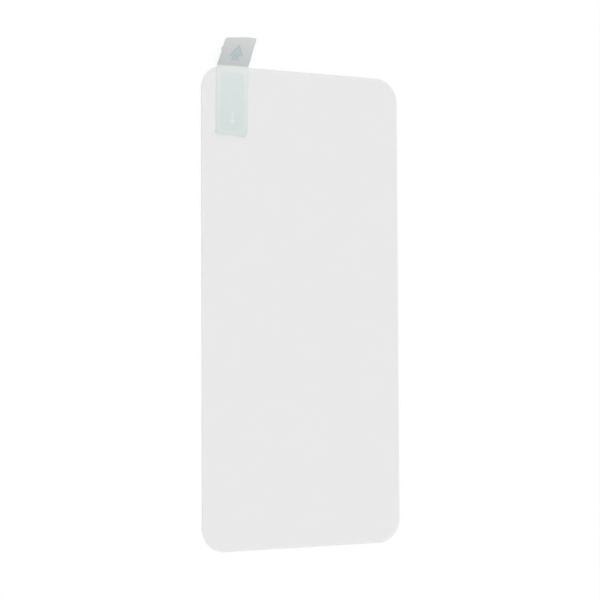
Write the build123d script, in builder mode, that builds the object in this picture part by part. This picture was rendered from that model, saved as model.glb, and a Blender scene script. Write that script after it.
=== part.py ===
from build123d import *
from math import cos, radians, sin, tan
import os

# Phone screen protector lying front face down: a tempered glass sheet, the release liner over its
# adhesive, and a strip of film stuck on the liner as a pull tab. Millimetres, Z up, Y towards the tab.
# The origin is the centre of the glass's front face.

# Glass sheet, with the silicone adhesive coat on its back counted in
glass_length = 155.0
glass_width = 71.0
glass_thickness = 0.4
corner_radius = 7.8
edge_round_width = 0.9  # band of the front face that the ground edge takes up
edge_round_height = 0.28  # how far the ground edge climbs the side
back_chamfer = 0.05

# Release liner over the adhesive
liner_thickness = 0.1
liner_inset = 0.4  # the film is cut this far inside the glass outline

# Pull tab, a strip with its free end bent up along a crease beside the glass edge
tab_width = 11.0
tab_thickness = 0.1
tab_stuck_length = 22.9  # from the crease to the end on the liner, along the middle
tab_free_length = 10.0  # from the crease to the free end, which is cut along the crease
tab_from_side = 10.95  # middle of the crease, from the side of the glass
tab_skew = 1.5  # degrees that the strip was stuck on out of square
tab_corner_radius = 0.9
crease_past_edge = 0.35  # the crease stands this far past the end of the glass
crease_radius = 0.5
tab_lift = 38.5  # degrees that the free end stands up, at the middle of the crease
tab_twist = 9.0  # degrees more that its left side stands up than its right
trim_spare = 2.0  # the film is drawn this much too large all round, then trimmed to the strip

# Heights and places that follow from those
liner_bottom = glass_thickness
tab_bottom = liner_bottom + liner_thickness
crease_x = tab_from_side - glass_width / 2
crease_y = glass_length / 2 + crease_past_edge
crease_outer_radius = crease_radius + tab_thickness
up = Vector(0, 0, 1)
tab_along = Vector(sin(radians(tab_skew)), cos(radians(tab_skew)), 0)
tab_across = tab_along.cross(up)


# At a distance across the strip from its middle: the free end's lift, how far along the strip the crease
# lies, since it follows the glass edge and not the strip, and how far the free end reaches seen from above
def lift_at(across):
    return tab_lift - tab_twist * across / tab_width


def crease_at(across):
    return across * tan(radians(tab_skew))


def reach_at(across):
    return crease_at(across) + tab_free_length * cos(radians(lift_at(across)))


# The sheet is cut to the display's outline, then a wheel runs round the rim and rounds the front edge
with BuildPart() as glass_sheet:
    with BuildSketch() as outline:
        RectangleRounded(glass_width, glass_length, corner_radius)
    extrude(amount=glass_thickness)
    chamfer(glass_sheet.faces().sort_by(Axis.Z)[-1].edges(), back_chamfer)
    rim = outline.face().outer_wire()
    outward = (rim % 0).cross(up)
    with BuildSketch(Plane(rim @ 0, x_dir=outward, z_dir=-(rim % 0))):
        with BuildLine():
            ground = TangentArc((-edge_round_width, 0), (0, edge_round_height), tangent=(1, 0))
            Polyline(ground @ 1, (glass_thickness, edge_round_height), (glass_thickness, -glass_thickness),
                     (-edge_round_width, -glass_thickness), ground @ 0)
        make_face()
    sweep(path=rim, mode=Mode.SUBTRACT)

with BuildPart() as release_liner:
    with BuildSketch(Plane.XY.offset(liner_bottom)):
        RectangleRounded(glass_width - 2 * liner_inset, glass_length - 2 * liner_inset,
                         corner_radius - liner_inset)
    extrude(amount=liner_thickness)

# The bent film is joined from two upright sections along it, each with its own lift, so that it twists,
# and is then trimmed to the strip's outline as seen from above
with BuildPart() as pull_tab:
    half_width = tab_width / 2
    for across in (-half_width - trim_spare, half_width + trim_spare):
        lift = lift_at(across)
        setback = crease_outer_radius * tan(radians(lift / 2))
        crease_point = (crease_x + across / cos(radians(tab_skew)), crease_y, tab_bottom)
        with BuildSketch(Plane(crease_point, x_dir=tab_along, z_dir=tab_across)):
            with BuildLine():
                stuck = Line((-tab_stuck_length - crease_at(across) - trim_spare, 0), (-setback, 0))
                crease = JernArc(stuck @ 1, stuck % 1, crease_outer_radius, lift)
                PolarLine(crease @ 1, tab_free_length - setback + trim_spare, direction=crease % 1)
                offset(amount=tab_thickness, side=Side.LEFT)
            make_face()
    loft(ruled=True)
    with BuildSketch(Plane((crease_x, crease_y, 0), x_dir=tab_across, z_dir=up)) as strip:
        with BuildLine():
            Polyline((-half_width, reach_at(-half_width)), (-half_width, -tab_stuck_length),
                     (half_width, -tab_stuck_length), (half_width, reach_at(half_width)), close=True)
        make_face()
        fillet(strip.vertices(), tab_corner_radius)
    extrude(amount=tab_bottom + 2 * tab_free_length, mode=Mode.INTERSECT)

os.makedirs("parts", exist_ok=True)
glass_sheet.part.label = "glass_sheet"
export_step(glass_sheet.part, "parts/glass_sheet.step")
release_liner.part.label = "release_liner"
export_step(release_liner.part, "parts/release_liner.step")
pull_tab.part.label = "pull_tab"
export_step(pull_tab.part, "parts/pull_tab.step")
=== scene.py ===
import bpy
import bmesh
import math
from mathutils import Matrix, Vector


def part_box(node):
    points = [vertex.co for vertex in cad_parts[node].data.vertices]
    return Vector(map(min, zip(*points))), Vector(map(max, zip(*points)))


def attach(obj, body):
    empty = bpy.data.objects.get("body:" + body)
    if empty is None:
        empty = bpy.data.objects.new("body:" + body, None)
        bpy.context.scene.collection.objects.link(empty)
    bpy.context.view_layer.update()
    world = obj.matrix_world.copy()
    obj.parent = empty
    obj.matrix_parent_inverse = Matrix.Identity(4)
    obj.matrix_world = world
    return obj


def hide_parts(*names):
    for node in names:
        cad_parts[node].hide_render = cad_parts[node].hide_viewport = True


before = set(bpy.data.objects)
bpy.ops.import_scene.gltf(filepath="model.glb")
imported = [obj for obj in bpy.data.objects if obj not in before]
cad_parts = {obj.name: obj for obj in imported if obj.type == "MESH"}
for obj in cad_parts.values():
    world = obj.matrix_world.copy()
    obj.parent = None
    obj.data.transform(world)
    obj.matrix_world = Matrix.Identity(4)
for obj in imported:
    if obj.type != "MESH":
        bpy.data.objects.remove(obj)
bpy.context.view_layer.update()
mm = 0.001
noiseLow, noiseHigh = 0.3, 0.7  # a noise texture's values mostly lie between these

def linear(hexColour):
    parts = [int(hexColour[i:i + 2], 16) / 255 for i in (0, 2, 4)]
    return tuple(p / 12.92 if p <= 0.04045 else ((p + 0.055) / 1.055) ** 2.4 for p in parts) + (1.0,)

# One node with its settings; a socket among the inputs is linked, anything else is typed in.
# Sockets that share a name go by number: a Mix has its factor at 0, numbers at 2 and 3, colours at 6 and 7.
def add(tree, kind, inputs=None, **settings):
    node = tree.nodes.new("ShaderNode" + kind)
    for name, value in settings.items():
        setattr(node, name, value)
    for key, value in (inputs or {}).items():
        if isinstance(value, bpy.types.NodeSocket):
            tree.links.new(value, node.inputs[key])
        else:
            node.inputs[key].default_value = value
    return node.outputs

def newMaterial(name):
    material = bpy.data.materials.new(name)
    material.use_nodes = True
    material.node_tree.nodes.clear()
    return material, material.node_tree

def setMaterials(obj, *materials):
    obj.data.materials.clear()
    for material in materials:
        obj.data.materials.append(material)

def editMode(select="SELECT"):
    bpy.ops.object.mode_set(mode="EDIT")
    bpy.ops.mesh.select_all(action=select)

def objectMode():
    bpy.ops.object.mode_set(mode="OBJECT")

# a 1 m square at the origin, alone in the selection, left in edit mode
def newPlane(name):
    bpy.ops.object.select_all(action="DESELECT")
    bpy.ops.mesh.primitive_plane_add(size=1, location=(0, 0, 0))
    bpy.context.object.name = name
    editMode()
    return bpy.context.object

# leaves only the wanted vertices selected, in edit mode
def pickVerts(obj, wanted):
    bpy.ops.mesh.select_mode(type="VERT")
    mesh = bmesh.from_edit_mesh(obj.data)
    for v in mesh.verts:
        v.select = wanted(v)
    mesh.select_flush_mode()
    bmesh.update_edit_mesh(obj.data)

def pickNearest(obj, place):
    verts = bmesh.from_edit_mesh(obj.data).verts
    nearest = min(verts, key=lambda v: (v.co - place).length)
    pickVerts(obj, lambda v: v == nearest)

def cutAcross(point, normal):
    bpy.ops.mesh.select_all(action="SELECT")
    bpy.ops.mesh.bisect(plane_co=point, plane_no=normal, use_fill=False)

def thicken(obj, thickness, rimMaterial=0):
    thick = obj.modifiers.new("thick", "SOLIDIFY")
    thick.thickness = thickness
    thick.offset = 1
    thick.material_offset = rimMaterial
    thick.material_offset_rim = rimMaterial
    bpy.ops.object.modifier_apply(modifier="thick")


# Glass: tempered sheet, polished on both faces and on its rounded front edge, with its side left as ground
glass = {
    "tint": "e9e9e9", "rimTintLightened": "ececec", "shadowTint": "f4f5f4",
    "ior": 1.35,  # 1.5 in bulk; this is its oil-repelling coat's, which keeps the rim from going dark
    "smearMm": 14, "smearRough": 0.02,
    "roundSlope": (0.8, 10),  # slopes, in degrees, over which the face turns into the rounded rim
    "groundSlope": (37, 44), "groundClear": 0.1, "groundRough": 0.35,  # and the rim into the ground side
}

def glassMaterial():
    # clear with a faint grey cast deepened by painted shade that stands in for its shadow on the paper below,
    # smears that barely soften it, a lighter tint painted on its rounded rim against the rim's shade, and a
    # frosted line round its side
    material, tree = newMaterial("temperedGlassPolished")
    place = add(tree, "TexCoord")["Object"]
    smear = add(tree, "TexNoise", {"Vector": place, "Scale": 1 / (glass["smearMm"] * mm),
                                   "Detail": 3.0})["Fac"]
    polish = add(tree, "MapRange", {"Value": smear, "From Min": noiseLow, "From Max": noiseHigh,
                                    "To Max": glass["smearRough"]})["Result"]
    facing = add(tree, "SeparateXYZ", {0: add(tree, "NewGeometry")["True Normal"]})["Z"]
    level = add(tree, "Math", {0: facing}, operation="ABSOLUTE")[0]
    roundFrom, roundTo = [math.cos(math.radians(slope)) for slope in glass["roundSlope"]]
    rounded = add(tree, "MapRange", {"Value": level, "From Min": roundFrom, "From Max": roundTo})["Result"]
    groundFrom, groundTo = [math.cos(math.radians(slope)) for slope in glass["groundSlope"]]
    ground = add(tree, "MapRange", {"Value": level, "From Min": groundFrom, "From Max": groundTo})["Result"]
    rough = add(tree, "Mix", {0: ground, 2: polish, 3: glass["groundRough"]})[0]
    # painted light and shade: the face's tint is deepened to stand in for the sheet's shadow on the paper,
    # and the rounded rim's tint is lighter so that the rim renders no darker than the face
    tint = add(tree, "Mix", {0: rounded, 6: linear(glass["tint"]), 7: linear(glass["rimTintLightened"])},
               data_type="RGBA")[2]
    clear = add(tree, "Mix", {0: ground, 2: 1.0, 3: glass["groundClear"]})[0]
    sheet = add(tree, "BsdfPrincipled", {"Base Color": tint, "Roughness": rough, "IOR": glass["ior"],
                                         "Transmission Weight": clear})[0]
    # the lamp shines straight through, so that the sheet casts no more than a faint shadow
    through = add(tree, "BsdfTransparent", {"Color": linear(glass["shadowTint"])})[0]
    isShadow = add(tree, "LightPath")["Is Shadow Ray"]
    add(tree, "OutputMaterial", {"Surface": add(tree, "MixShader", {0: isShadow, 1: sheet, 2: through})[0]})
    return material

setMaterials(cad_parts["glass_sheet"], glassMaterial())
print("glass done")


# Liner: clear polyester film over the adhesive, cut a little inside the glass
liner = {
    "corner": 7.4, "cornerSteps": 14,
    "clear": 0.015,  # gap to the glass below and to the tab above
    "colour": "eef0ef", "cover": 0.04, "ior": 1.6,
    "waveMm": 22, "waveHeight": 0.2, "waveStrength": 0.2,
    "grainMm": 0.6, "rough": (0.1, 0.22),  # drawn coarse: the real grain, under 0.1 mm, is too fine to show
}

def linerMaterial():
    # cast film: a soft gloss, with long waves from the roll that bend a reflection
    material, tree = newMaterial("castPolyesterLinerFilm")
    place = add(tree, "TexCoord")["Object"]
    wave = add(tree, "TexNoise", {"Vector": place, "Scale": 1 / (liner["waveMm"] * mm),
                                  "Detail": 1.0})["Fac"]
    grain = add(tree, "TexNoise", {"Vector": place, "Scale": 1 / (liner["grainMm"] * mm),
                                   "Detail": 2.0})["Fac"]
    rough = add(tree, "MapRange", {"Value": grain, "From Min": noiseLow, "From Max": noiseHigh,
                                   "To Min": liner["rough"][0], "To Max": liner["rough"][1]})["Result"]
    bent = add(tree, "Bump", {"Strength": liner["waveStrength"], "Distance": liner["waveHeight"] * mm,
                              "Height": wave})[0]
    film = add(tree, "BsdfPrincipled", {"Base Color": linear(liner["colour"]), "Roughness": rough,
                                        "Normal": bent, "IOR": liner["ior"], "Alpha": liner["cover"]})[0]
    add(tree, "OutputMaterial", {"Surface": film})
    return material

def buildLiner():
    low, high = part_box("release_liner")
    size = high - low
    film = newPlane("liner_film")
    bpy.ops.transform.resize(value=(size.x, size.y, 1))
    bpy.ops.mesh.bevel(offset=liner["corner"] * mm, segments=liner["cornerSteps"], affect="VERTICES")
    bpy.ops.transform.translate(value=(0, 0, low.z + liner["clear"] * mm))
    objectMode()
    thicken(film, size.z - 2 * liner["clear"] * mm)
    setMaterials(film, linerMaterial())
    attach(film, "root")
    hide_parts("release_liner")

buildLiner()
print("liner done")


# Pull tab: printed film stuck on the liner, its free end folded up along the glass edge and a little twisted.
# Places on the strip are in mm, x across from its middle and y along from the crease.
tab = {
    "width": 11.0, "stuck": 22.9, "free": 10.0, "thick": 0.1,
    "fromSide": 10.95, "pastEdge": 0.35,  # where the middle of the crease lies, from the glass
    "skew": 1.5, "lift": 38.5, "twist": 8.1,
    "creaseHalf": 0.2, "creaseSteps": 6, "stuckRows": 15, "freeRows": 20, "columns": 8,
    "corners": ((-1, -1, 1.0), (1, -1, 1.7), (-1, 1, 0.9), (1, 1, 0.7)),  # sides in x and y, radius
    "cornerSteps": 6, "smoothAngle": 40,
    # what cutting and handling did to the film: a place, its move, and how far round it the film follows
    "nudges": (
        ((-5.5, 6.0), (-0.4, 0, 0), 1.3),  # nick in the free end's edge
        ((-5.5, 9.5), (-0.17, 0, 0), 6.0),  # free end cut a little wide on the left,
        ((5.5, 9.5), (0.2, -0.1, 0), 4.0),  # on the right
        ((1.5, 10.0), (0, 0.17, 0), 4.5),  # and at its end
        ((5.5, 0.4), (-0.17, 0, 0), 2.0),  # stuck part cut a little narrow beside the crease
        ((-5.5, -19.4), (0.22, 0, 0), 3.2),  # and above its left corner,
        ((0, -22.9), (0, 0.36, 0), 4.6),  # and a little short at its end
        ((-5.4, -22.8), (-0.5, 0.68, 0.3), 1.8),  # corners that have let go of the liner
        ((5.3, -22.6), (0, 0, 0.22), 2.6),
        ((-4.1, -22.9), (0, 0.28, 0), 2.2),  # the end beside each of them
        ((4.1, -22.9), (0, -0.14, 0), 1.3),
    ),
    # inks, each from the stuck end to the crease or from the crease to the free end: the margin and field
    # grow lighter towards the crease, painted shade at the stuck end and a painted highlight by the fold, and
    # the grip's printed grey is darkened by painted shade towards the crease
    "margin": ("d7dddb", "e2e6e3"), "field": ("d2dbdb", "d8e2e0"), "grip": ("d0d4d4", "e3e5e4"),
    "fieldMid": (-0.05, -11.7), "fieldHalf": (4.1, 9.5), "fieldCorner": 1.5, "fieldSoft": 0.25,
    "gripFrom": (-0.4, -0.1),  # the grey begins just short of the crease
    "downArrow": {"mid": 0.2, "tail": -14.9, "neck": -17.6, "tip": -19.0, "stem": 0.3, "head": 1.05},
    "downInk": "dbe5e4",
    "upArrow": {"mid": 0.0, "tail": 1.9, "neck": 3.5, "tip": 7.6, "stem": 1.25, "head": 2.6},
    "upInk": "c7d3d6", "upLineInk": "c0cccf", "upLine": 0.45, "inkSoft": 0.12,
    # grey spots painted on the two corners at the stuck end
    "cornerGrey": "c9cccb", "cornerGreySpots": ((-5.35, -22.1), (4.0, -22.9)), "cornerGreyReach": (0.9, 0.1), "cornerGreyCover": 0.85,
    "cloudMm": 3.5, "cloudShade": (0.985, 1.01),
    "grainMm": 0.25, "grainHeight": 0.02, "grainStrength": 0.15,  # drawn coarse: the real one is too fine
    "rough": (0.36, 0.5), "gloss": 0.3,
    "back": ("d8dcda", "e2e6e3"), "mottleMm": 2.4, "backRough": (0.25, 0.55),
}

# signed distance to a block arrow that lies along y
def arrowShape(tree, x, y, arrow):
    way = math.copysign(1, arrow["tip"] - arrow["tail"])
    neck = abs(arrow["neck"] - arrow["tail"])
    tip = abs(arrow["tip"] - arrow["tail"])
    side = add(tree, "Math", {0: x, 1: arrow["mid"]}, operation="SUBTRACT")[0]
    side = add(tree, "Math", {0: side}, operation="ABSOLUTE")[0]
    run = add(tree, "Math", {0: y, 1: way, 2: -arrow["tail"] * way}, operation="MULTIPLY_ADD")[0]
    pastSide = add(tree, "Math", {0: side, 1: arrow["stem"]}, operation="SUBTRACT")[0]
    pastTail = add(tree, "Math", {0: run, 1: -1.0}, operation="MULTIPLY")[0]
    pastNeck = add(tree, "Math", {0: run, 1: neck}, operation="SUBTRACT")[0]
    stem = add(tree, "Math", {0: pastSide, 1: pastTail}, operation="MAXIMUM")[0]
    stem = add(tree, "Math", {0: stem, 1: pastNeck}, operation="MAXIMUM")[0]
    slant = math.hypot(tip - neck, arrow["head"])
    pastSlant = add(tree, "Math", {0: run, 1: arrow["head"] / slant, 2: -tip * arrow["head"] / slant},
                    operation="MULTIPLY_ADD")[0]
    pastSlant = add(tree, "Math", {0: side, 1: (tip - neck) / slant, 2: pastSlant},
                    operation="MULTIPLY_ADD")[0]
    beforeNeck = add(tree, "Math", {0: neck, 1: run}, operation="SUBTRACT")[0]
    head = add(tree, "Math", {0: pastSlant, 1: beforeNeck}, operation="MAXIMUM")[0]
    return add(tree, "Math", {0: stem, 1: head}, operation="MINIMUM")[0]

def printMaterial():
    # satin film in thin inks: milky margins, a pale aqua field, a grey grip with a blue-grey mark; painted
    # shade and a painted highlight run along the strip towards the crease
    material, tree = newMaterial("printedSatinPolyesterFilm")
    flat = add(tree, "TexCoord")["UV"]
    spot = add(tree, "VectorMath", {0: flat, 1: (tab["width"], tab["stuck"] + tab["free"], 0),
                                    2: (-tab["width"] / 2, -tab["stuck"], 0)}, operation="MULTIPLY_ADD")[0]
    split = add(tree, "SeparateXYZ", {0: spot})
    x, y = split["X"], split["Y"]

    # painted light along the strip: margin and field darker at the stuck end and lighter by the fold, the
    # grip darker by the crease
    toCrease = add(tree, "MapRange", {"Value": y, "From Min": -tab["stuck"], "From Max": 0.0})["Result"]
    margin, field, grip = [[linear(ink) for ink in tab[part]] for part in ("margin", "field", "grip")]
    colour = add(tree, "Mix", {0: toCrease, 6: margin[0], 7: margin[1]}, data_type="RGBA")[2]
    aqua = add(tree, "Mix", {0: toCrease, 6: field[0], 7: field[1]}, data_type="RGBA")[2]
    toEnd = add(tree, "MapRange", {"Value": y, "From Min": 0.0, "From Max": tab["free"]})["Result"]
    grey = add(tree, "Mix", {0: toEnd, 6: grip[0], 7: grip[1]}, data_type="RGBA")[2]

    # the crease runs along the glass edge, so it is skewed on the strip
    pastCrease = add(tree, "Math", {0: x, 1: -math.tan(math.radians(tab["skew"])), 2: y},
                     operation="MULTIPLY_ADD")[0]
    onGrip = add(tree, "MapRange", {"Value": pastCrease, "From Min": tab["gripFrom"][0],
                                    "From Max": tab["gripFrom"][1]})["Result"]
    colour = add(tree, "Mix", {0: onGrip, 6: colour, 7: grey}, data_type="RGBA")[2]

    # round-cornered field
    off = add(tree, "VectorMath", {0: spot, 1: (*tab["fieldMid"], 0)}, operation="SUBTRACT")[0]
    off = add(tree, "VectorMath", {0: off}, operation="ABSOLUTE")[0]
    straight = [half - tab["fieldCorner"] for half in tab["fieldHalf"]]
    off = add(tree, "VectorMath", {0: off, 1: (*straight, 0)}, operation="SUBTRACT")[0]
    off = add(tree, "VectorMath", {0: off, 1: (0, 0, 0)}, operation="MAXIMUM")[0]
    off = add(tree, "VectorMath", {0: off}, operation="LENGTH")["Value"]
    onField = add(tree, "MapRange", {"Value": off, "From Min": tab["fieldCorner"] + tab["fieldSoft"],
                                     "From Max": tab["fieldCorner"] - tab["fieldSoft"]})["Result"]
    colour = add(tree, "Mix", {0: onField, 6: colour, 7: aqua}, data_type="RGBA")[2]

    # arrows: a pale one on the field, a dark one with a darker outline on the grip
    soft, line = tab["inkSoft"], tab["upLine"]
    down = arrowShape(tree, x, y, tab["downArrow"])
    onDown = add(tree, "MapRange", {"Value": down, "From Min": soft, "From Max": -soft})["Result"]
    colour = add(tree, "Mix", {0: onDown, 6: colour, 7: linear(tab["downInk"])}, data_type="RGBA")[2]
    up = arrowShape(tree, x, y, tab["upArrow"])
    onUp = add(tree, "MapRange", {"Value": up, "From Min": soft, "From Max": -soft})["Result"]
    inLine = add(tree, "MapRange", {"Value": up, "From Min": soft - line, "From Max": -soft - line})["Result"]
    upInk = add(tree, "Mix", {0: inLine, 6: linear(tab["upLineInk"]), 7: linear(tab["upInk"])},
                data_type="RGBA")[2]
    colour = add(tree, "Mix", {0: onUp, 6: colour, 7: upInk}, data_type="RGBA")[2]

    # the two corners that lie on the liner are painted a darker grey, each in a small spot
    for place in tab["cornerGreySpots"]:
        away = add(tree, "VectorMath", {0: spot, 1: (*place, 0)}, operation="DISTANCE")["Value"]
        cornerGrey = add(tree, "MapRange", {"Value": away, "From Min": tab["cornerGreyReach"][0],
                                      "From Max": tab["cornerGreyReach"][1], "To Max": tab["cornerGreyCover"]})["Result"]
        colour = add(tree, "Mix", {0: cornerGrey, 6: colour, 7: linear(tab["cornerGrey"])}, data_type="RGBA")[2]

    # ink laid a little unevenly, over a satin grain
    cloud = add(tree, "TexNoise", {"Vector": spot, "Scale": 1 / tab["cloudMm"], "Detail": 2.0})["Fac"]
    shade = add(tree, "MapRange", {"Value": cloud, "From Min": noiseLow, "From Max": noiseHigh,
                                   "To Min": tab["cloudShade"][0], "To Max": tab["cloudShade"][1]})["Result"]
    colour = add(tree, "VectorMath", {0: colour, "Scale": shade}, operation="SCALE")[0]
    grain = add(tree, "TexNoise", {"Vector": spot, "Scale": 1 / tab["grainMm"], "Detail": 2.0})["Fac"]
    rough = add(tree, "MapRange", {"Value": grain, "From Min": noiseLow, "From Max": noiseHigh,
                                   "To Min": tab["rough"][0], "To Max": tab["rough"][1]})["Result"]
    satin = add(tree, "Bump", {"Strength": tab["grainStrength"], "Distance": tab["grainHeight"] * mm,
                               "Height": grain})[0]
    film = add(tree, "BsdfPrincipled", {"Base Color": colour, "Roughness": rough, "Normal": satin,
                                        "Specular IOR Level": tab["gloss"]})[0]
    add(tree, "OutputMaterial", {"Surface": film})
    return material

def backMaterial():
    # the unprinted side: milky film, with a thin glue coat that has dried in glossy and dull patches
    material, tree = newMaterial("gluedPolyesterFilmBack")
    place = add(tree, "TexCoord")["Object"]
    mottle = add(tree, "TexNoise", {"Vector": place, "Scale": 1 / (tab["mottleMm"] * mm),
                                    "Detail": 2.0})["Fac"]
    colour = add(tree, "Mix", {0: mottle, 6: linear(tab["back"][0]), 7: linear(tab["back"][1])},
                 data_type="RGBA")[2]
    rough = add(tree, "MapRange", {"Value": mottle, "From Min": noiseLow, "From Max": noiseHigh,
                                   "To Min": tab["backRough"][0], "To Max": tab["backRough"][1]})["Result"]
    film = add(tree, "BsdfPrincipled", {"Base Color": colour, "Roughness": rough})[0]
    add(tree, "OutputMaterial", {"Surface": film})
    return material

def cutStrip():
    half, stuck, free = tab["width"] / 2 * mm, tab["stuck"] * mm, tab["free"] * mm
    film = newPlane("tab_film")
    bpy.ops.transform.resize(value=(2 * half, stuck + free, 1))
    bpy.ops.transform.translate(value=(0, (free - stuck) / 2, 0))
    for sideX, sideY, radius in tab["corners"]:
        pickNearest(film, Vector((sideX * half, free if sideY > 0 else -stuck, 0)))
        bpy.ops.mesh.bevel(offset=radius * mm, segments=tab["cornerSteps"], affect="VERTICES")
    bpy.ops.mesh.select_all(action="SELECT")
    skew = math.radians(tab["skew"])
    bpy.ops.transform.rotate(value=skew, orient_axis="Z", center_override=(0, 0, 0))
    # the free end was cut along the glass edge, not square to the strip
    along = Vector((math.sin(skew), math.cos(skew), 0))
    across = Vector((math.cos(skew), -math.sin(skew), 0))
    pickVerts(film, lambda v: v.co.y > 0)
    bpy.ops.transform.rotate(value=-skew, orient_axis="Z", center_override=along * free)
    # rows across the strip, close together in the crease, then columns along it
    rows = [(2 * i / tab["creaseSteps"] - 1) * tab["creaseHalf"] * mm for i in range(tab["creaseSteps"] + 1)]
    rows += [-stuck * i / tab["stuckRows"] for i in range(1, tab["stuckRows"])]
    rows += [free * i / tab["freeRows"] for i in range(1, tab["freeRows"])]
    for row in rows:
        cutAcross((0, row, 0), (0, 1, 0))
    for i in range(1, tab["columns"]):
        cutAcross(across * (2 * i / tab["columns"] - 1) * half, across)
    for (x, y), move, reach in tab["nudges"]:
        pickNearest(film, (across * x + along * y) * mm)
        bpy.ops.transform.translate(value=Vector(move) * mm, use_proportional_edit=True,
                                    proportional_edit_falloff="SMOOTH", proportional_size=reach * mm)
    objectMode()
    return film

def foldStrip(film):
    # twist of the free end about its own middle, nothing on the stuck part
    flat = [v.co.y for v in film.data.vertices]
    turn = film.modifiers.new("twist", "SIMPLE_DEFORM")
    turn.deform_method = "TWIST"
    turn.deform_axis = "Y"
    turn.angle = math.radians(tab["twist"])
    turn.limits = (-min(flat) / (max(flat) - min(flat)), 1)
    bpy.ops.object.modifier_apply(modifier="twist")
    # the fold, rolled up row by row: each row turns all the film past it
    editMode("DESELECT")
    start = -tab["creaseHalf"] * mm
    step = -2 * start / tab["creaseSteps"]
    bend = math.radians(tab["lift"]) / tab["creaseSteps"]
    y, z = start, 0
    for i in range(tab["creaseSteps"]):
        pastRow = start + (i + 0.5) * step  # halfway to the next row
        pickVerts(film, lambda v: flat[v.index] > pastRow)
        bpy.ops.transform.rotate(value=-bend, orient_axis="X", center_override=(0, y, z))
        y += step * math.cos(bend * (i + 1))
        z += step * math.sin(bend * (i + 1))

def buildTab():
    film = cutStrip()
    foldStrip(film)
    glassLow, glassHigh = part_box("glass_sheet")
    creaseX = glassLow.x + tab["fromSide"] * mm
    creaseY = glassHigh.y + tab["pastEdge"] * mm
    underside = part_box("pull_tab")[0].z
    bpy.ops.mesh.select_all(action="SELECT")
    bpy.ops.transform.translate(value=(creaseX, creaseY, underside))
    objectMode()
    setMaterials(film, printMaterial(), backMaterial())
    thicken(film, tab["thick"] * mm, rimMaterial=1)
    bpy.ops.object.shade_smooth_by_angle(angle=math.radians(tab["smoothAngle"]))
    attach(film, "root")
    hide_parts("pull_tab")

buildTab()
print("tab done")


# Floor: white paper, which glows by a share, so that it looks white and the shadow on it stays faint
floor = {"colour": "ffffff", "drop": 0.1, "reach": 20000, "glow": 0.7, "glowUnderGlass": 0.88}

def paperMaterial():
    # a paper sweep under even light: plain white to the eye, with the shadow only just left on it
    material, tree = newMaterial("whitePaperSweep")
    path = add(tree, "LightPath")
    seen = add(tree, "Math", {0: path["Is Camera Ray"], 1: path["Is Glossy Ray"]}, operation="MAXIMUM")[0]
    share = add(tree, "Math", {0: seen, 1: floor["glow"]}, operation="MULTIPLY")[0]
    under = add(tree, "Math", {0: path["Is Transmission Ray"], 1: floor["glowUnderGlass"]},
                operation="MULTIPLY")[0]
    share = add(tree, "Math", {0: share, 1: under}, operation="MAXIMUM")[0]
    card = add(tree, "BsdfDiffuse", {"Color": linear(floor["colour"])})[0]
    glow = add(tree, "Emission", {"Color": linear(floor["colour"]), "Strength": 1.0})[0]
    add(tree, "OutputMaterial", {"Surface": add(tree, "MixShader", {0: share, 1: card, 2: glow})[0]})
    return material

def buildFloor():
    paper = newPlane("paperFloor")
    bpy.ops.transform.resize(value=(floor["reach"] * mm, floor["reach"] * mm, 1))
    bpy.ops.transform.translate(value=(0, 0, -floor["drop"] * mm))
    objectMode()
    setMaterials(paper, paperMaterial())

buildFloor()
print("floor done")


# Light: a white sky, and one soft lamp from behind the tab
light = {"sky": "ffffff", "ambient": 0.76, "key": 0.96, "keySpread": 30, "keyHeight": 55, "keySide": -8}

def buildSky():
    world = bpy.data.worlds.new("studio")
    bpy.context.scene.world = world
    world.use_nodes = True
    tree = world.node_tree
    tree.nodes.clear()
    # plain white where it is looked at or mirrored, and the ambient strength where it lights
    path = add(tree, "LightPath")
    seen = add(tree, "Math", {0: path["Is Camera Ray"], 1: path["Is Glossy Ray"]}, operation="MAXIMUM")[0]
    seen = add(tree, "Math", {0: seen, 1: path["Is Transmission Ray"]}, operation="MAXIMUM")[0]
    power = add(tree, "MapRange", {"Value": seen, "To Min": light["ambient"], "To Max": 1.0})["Result"]
    sky = add(tree, "Background", {"Color": linear(light["sky"]), "Strength": power})[0]
    add(tree, "OutputWorld", {"Surface": sky})

def buildLamp():
    down = math.radians(light["keyHeight"] - 90)
    bpy.ops.object.light_add(type="SUN", rotation=(down, 0, math.radians(light["keySide"])))
    key = bpy.context.object
    key.name = "keyLamp"
    key.data.energy = light["key"]
    key.data.angle = math.radians(light["keySpread"])

buildSky()
buildLamp()
print("light done")


# Camera: looks down on the sheet from its left, as the photo does
camera = {
    "lens": 93.09, "near": 10, "place": (-218.35, -17.51, 456.5),
    "yaw": 25.479, "tilt": -2.296, "roll": 0.258,
}

def buildCamera():
    bpy.ops.object.camera_add(location=Vector(camera["place"]) * mm)
    view = bpy.context.object
    view.name = "photoCamera"
    view.data.lens = camera["lens"]
    view.data.clip_start = camera["near"] * mm
    turn = Matrix.Rotation(math.radians(camera["roll"]), 3, "Z")
    turn @= Matrix.Rotation(math.radians(camera["tilt"]), 3, "X")
    turn @= Matrix.Rotation(math.radians(camera["yaw"]), 3, "Y")
    view.rotation_euler = turn.inverted().to_euler()
    bpy.context.scene.camera = view
    bpy.context.scene.view_settings.view_transform = "Standard"

buildCamera()
print("camera done")
